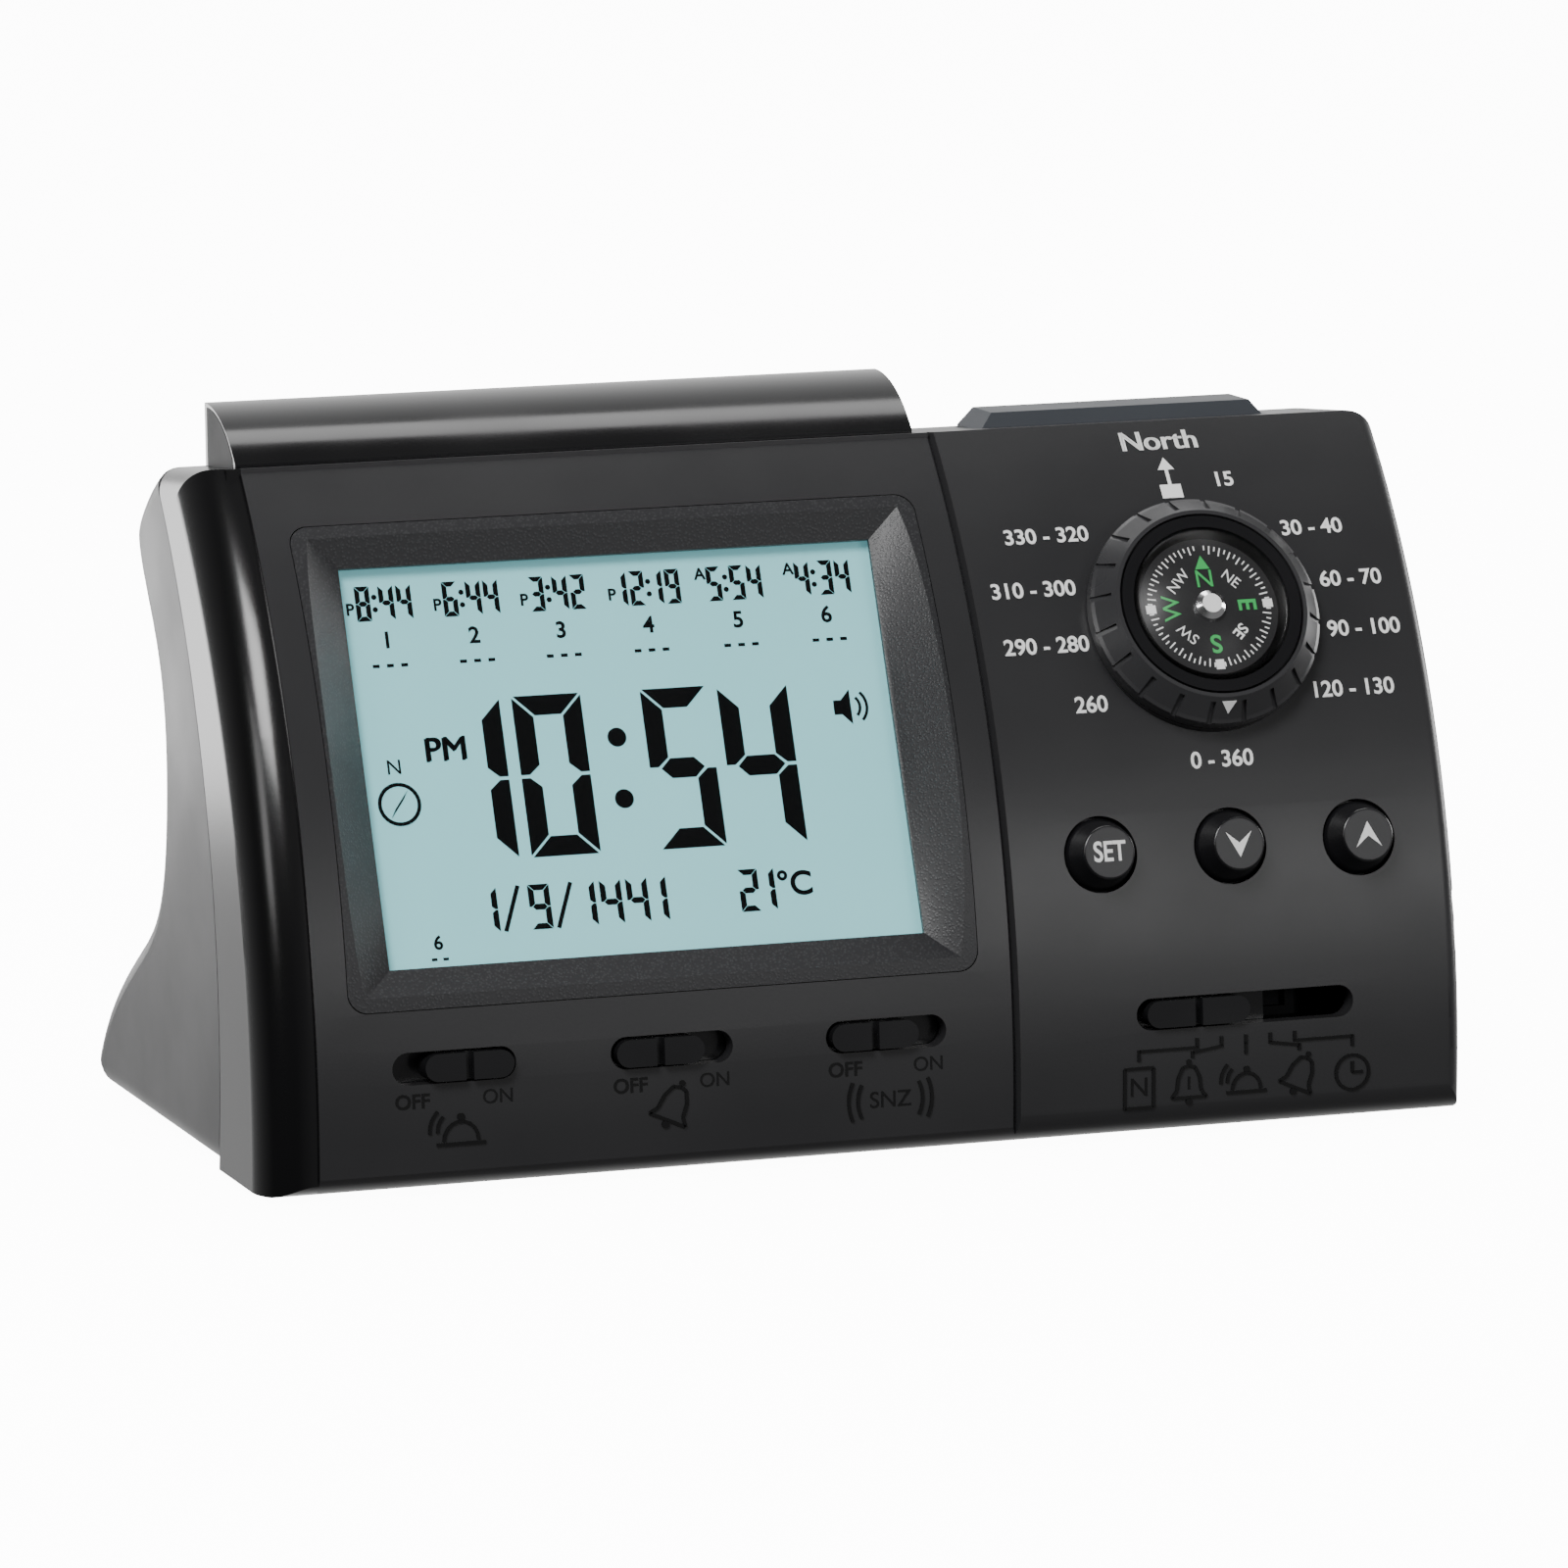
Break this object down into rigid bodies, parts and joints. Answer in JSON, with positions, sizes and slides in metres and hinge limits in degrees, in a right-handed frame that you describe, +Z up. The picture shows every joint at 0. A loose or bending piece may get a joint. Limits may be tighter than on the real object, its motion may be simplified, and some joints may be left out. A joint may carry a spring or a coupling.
{
  "type": "azan alarm clock",
  "caption": "Desk prayer-time alarm clock: leaning curved face with wide display, compass in a turning ring, push buttons, slide switches, snooze bar, speaker and battery tray.",
  "frame": {"origin": "centre of the clock's box, on the surface it stands on", "axes": "+X to the right seen from the front, +Z up, the face looks towards -Y"},
  "size_m": [0.155, 0.0866, 0.0928],
  "materials": {
    "shell": "satin charcoal",
    "gloss": "glossy black",
    "bezel": "fine speckled charcoal",
    "clear": "clear",
    "lcd": "pale blue-green display",
    "diffuser": "milky white",
    "strip": "striped conductive rubber",
    "board": "green laminate",
    "chip": "black resin",
    "switch": "plated steel case",
    "knob": "glossy black",
    "key": "grey-black",
    "light_key": "slate grey",
    "card": "printed black card",
    "hub": "bright",
    "magnet": "dark ferrite and steel",
    "pivot": "turned",
    "basket": "pressed steel",
    "cone": "black paper",
    "cell": "plain sleeve with steel ends",
    "contact": "nickel plated",
    "lead": "insulated wire",
    "screw": "steel",
    "foot": "soft black"
  },
  "bodies": {
    "housing": {"front_shell": "shell", "rear_shell": "shell", "display_bezel": "bezel", "display_lens": "clear", "lcd_panel": "lcd", "lcd_backlight": "diffuser", "lcd_strip": "strip", "lcd_frame": "diffuser", "main_pcb": "board", "board_parts": "chip", "switch_pcb": "board", "alarm_switches": "switch", "mode_switch": "switch", "key_pcb": "board", "key_switches": "chip", "top_pcb": "board", "top_switches": "chip", "compass_cup": "card", "compass_lens": "clear", "compass_pivot": "pivot", "speaker_frame": "basket", "speaker_cone": "cone", "speaker_magnet": "magnet", "speaker_clamp": "basket", "battery_cells": "cell", "battery_contacts": "contact", "battery_springs": "contact", "battery_leads": "lead", "speaker_leads": "lead", "shell_screws": "screw", "board_screws": "screw", "clamp_screws": "screw", "rubber_feet": "foot"},
    "snooze_bar": {"snooze_bar": "gloss"},
    "light_button": {"light_button": "light_key"},
    "set_button": {"set_button": "key"},
    "down_button": {"down_button": "key"},
    "up_button": {"up_button": "key"},
    "chime_knob": {"chime_knob": "knob"},
    "alarm_knob": {"alarm_knob": "knob"},
    "snooze_knob": {"snooze_knob": "knob"},
    "mode_knob": {"mode_knob": "knob"},
    "battery_door": {"battery_door": "shell"},
    "compass_ring": {"compass_ring": "gloss"},
    "compass_card": {"compass_card": "card", "compass_hub": "hub", "compass_magnet": "magnet"}
  },
  "joints": [
    {"name": "snooze_bar_press", "type": "slide", "parent": "housing", "child": "snooze_bar", "axis": [0, 0, -1], "range_m": [0, 0.0012], "stiffness_N_per_m": 400},
    {"name": "light_button_press", "type": "slide", "parent": "housing", "child": "light_button", "axis": [0, 0, -1], "range_m": [0, 0.0009], "stiffness_N_per_m": 400},
    {"name": "set_button_press", "type": "slide", "parent": "housing", "child": "set_button", "axis": [0, 0.9725, -0.233], "range_m": [0, 0.0008], "stiffness_N_per_m": 300},
    {"name": "down_button_press", "type": "slide", "parent": "housing", "child": "down_button", "axis": [0, 0.9725, -0.233], "range_m": [0, 0.0008], "stiffness_N_per_m": 300},
    {"name": "up_button_press", "type": "slide", "parent": "housing", "child": "up_button", "axis": [0, 0.9725, -0.233], "range_m": [0, 0.0008], "stiffness_N_per_m": 300},
    {"name": "chime_knob_slide", "type": "slide", "parent": "housing", "child": "chime_knob", "axis": [1, 0, 0], "range_m": [-0.0034, 0]},
    {"name": "alarm_knob_slide", "type": "slide", "parent": "housing", "child": "alarm_knob", "axis": [1, 0, 0], "range_m": [0, 0.0034]},
    {"name": "snooze_knob_slide", "type": "slide", "parent": "housing", "child": "snooze_knob", "axis": [1, 0, 0], "range_m": [0, 0.0034]},
    {"name": "mode_knob_slide", "type": "slide", "parent": "housing", "child": "mode_knob", "axis": [1, 0, 0], "range_m": [0, 0.0128]},
    {"name": "battery_door_slide", "type": "slide", "parent": "housing", "child": "battery_door", "axis": [0, 1, 0], "range_m": [0, 0.054]},
    {"name": "compass_ring_turn", "type": "hinge", "parent": "housing", "child": "compass_ring", "pos_m": [0.048, -0.02857, 0.06322], "axis": [0, -0.878, 0.4786], "continuous": true},
    {"name": "compass_card_turn", "type": "hinge", "parent": "housing", "child": "compass_card", "pos_m": [0.048, -0.02857, 0.06322], "axis": [0, -0.878, 0.4786], "continuous": true}
  ]
}
